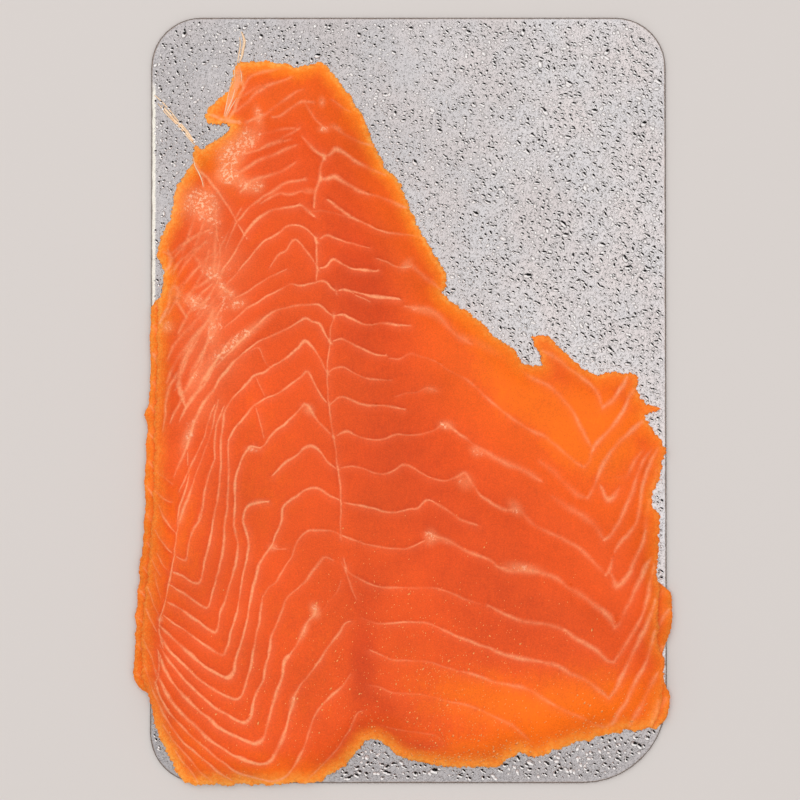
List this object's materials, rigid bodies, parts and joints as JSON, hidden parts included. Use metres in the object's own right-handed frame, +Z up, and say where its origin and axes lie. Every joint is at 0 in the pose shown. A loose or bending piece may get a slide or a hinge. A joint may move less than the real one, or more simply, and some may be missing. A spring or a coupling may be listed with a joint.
{
  "type": "smoked salmon slices",
  "caption": "Long slices of smoked salmon laid on each other on a rounded silver card board.",
  "frame": {"origin": "middle of the board's flat underside", "axes": "+X across the board towards the slices' short side, +Y along the board towards the slices' narrow end, +Z up"},
  "size_m": [0.1719, 0.246, 0.0102],
  "materials": {
    "foil_card": "silver foil face on card, wet with fine condensation",
    "salmon_under": "moist smoked salmon, orange, soft sheen",
    "salmon_top": "moist smoked salmon, orange red with pale fat lines"
  },
  "bodies": {
    "root": {"board": "foil_card", "slice_bottom": "salmon_under", "slice_middle": "salmon_under", "slice_top": "salmon_top"}
  },
  "joints": []
}
